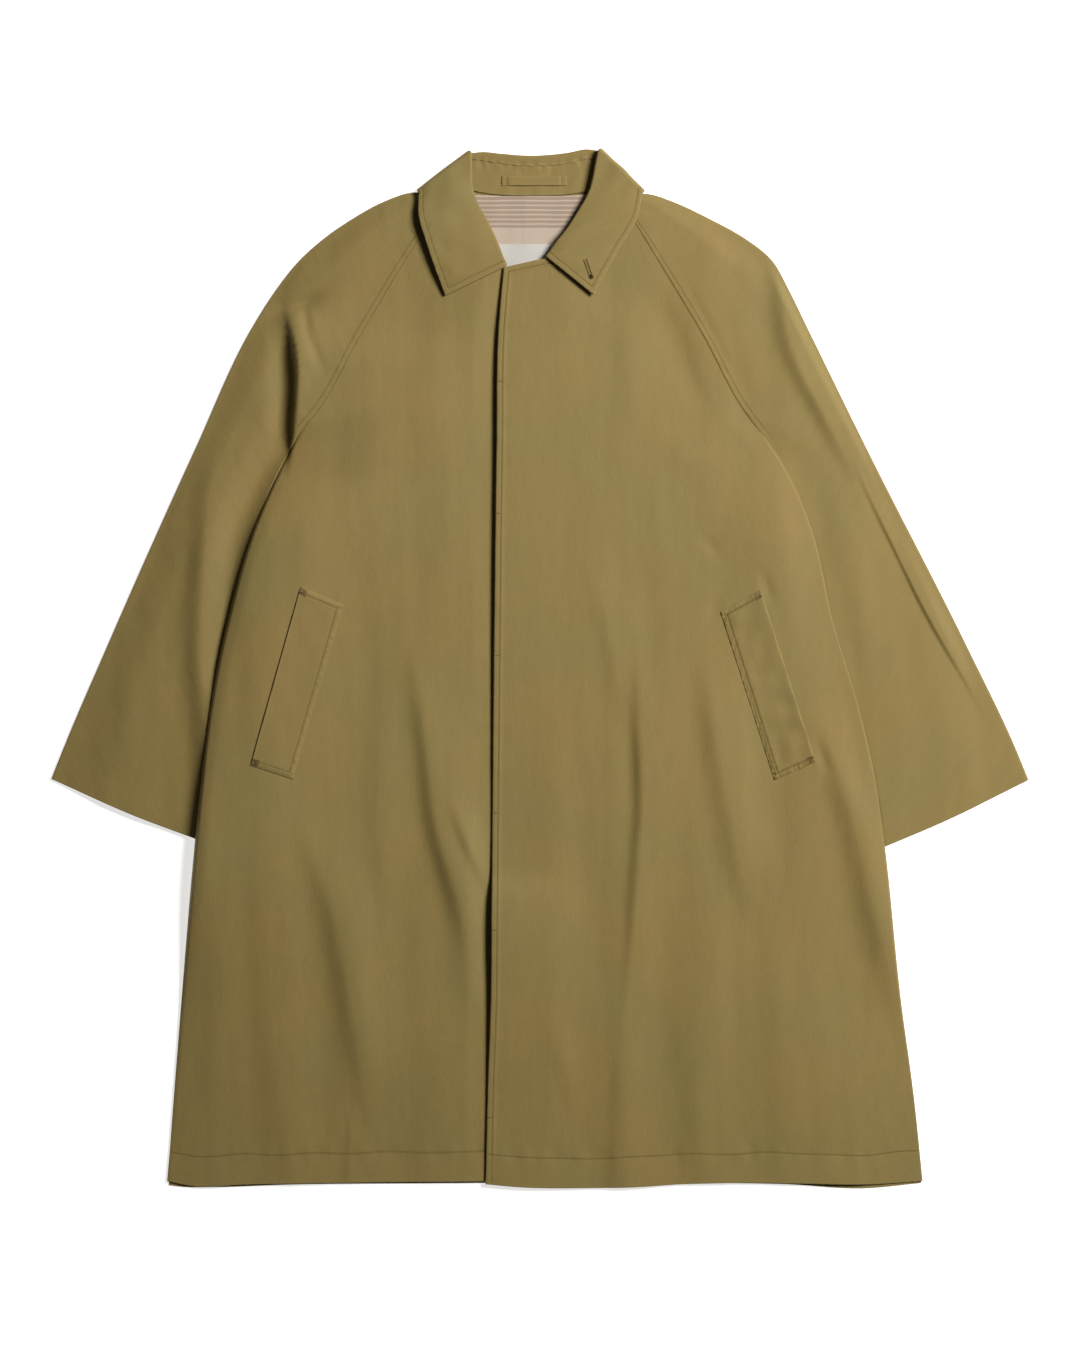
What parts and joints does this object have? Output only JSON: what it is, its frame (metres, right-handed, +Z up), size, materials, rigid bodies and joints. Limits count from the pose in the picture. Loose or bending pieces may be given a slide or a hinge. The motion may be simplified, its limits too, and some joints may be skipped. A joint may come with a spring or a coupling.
{
  "type": "raglan coat",
  "caption": "Knee-length gabardine raglan coat with a shirt collar, fly front and slanted welt pockets, laid flat face up with its sleeves beside it.",
  "frame": {"origin": "middle of the coat's outline, on the surface that it lies on", "axes": "+X across the coat to its wearer's left, +Y up the coat towards the collar, +Z up from the surface"},
  "size_m": [1.0252, 1.0905, 0.0146],
  "materials": {
    "gabardine": "tight olive-tan twill with a faint sheen",
    "striped_lining": "smooth beige lining with fine brown stripes",
    "label_tape": "plain white woven tape"
  },
  "bodies": {
    "root": {"back": "gabardine", "front_right": "gabardine", "front_left": "gabardine", "sleeve_front_right": "gabardine", "sleeve_back_right": "gabardine", "sleeve_front_left": "gabardine", "sleeve_back_left": "gabardine", "collar_leaf": "gabardine", "collar_stand": "gabardine", "hanger_loop": "gabardine", "pocket_welt_right": "gabardine", "pocket_welt_left": "gabardine", "lining": "striped_lining", "label": "label_tape"}
  },
  "joints": []
}
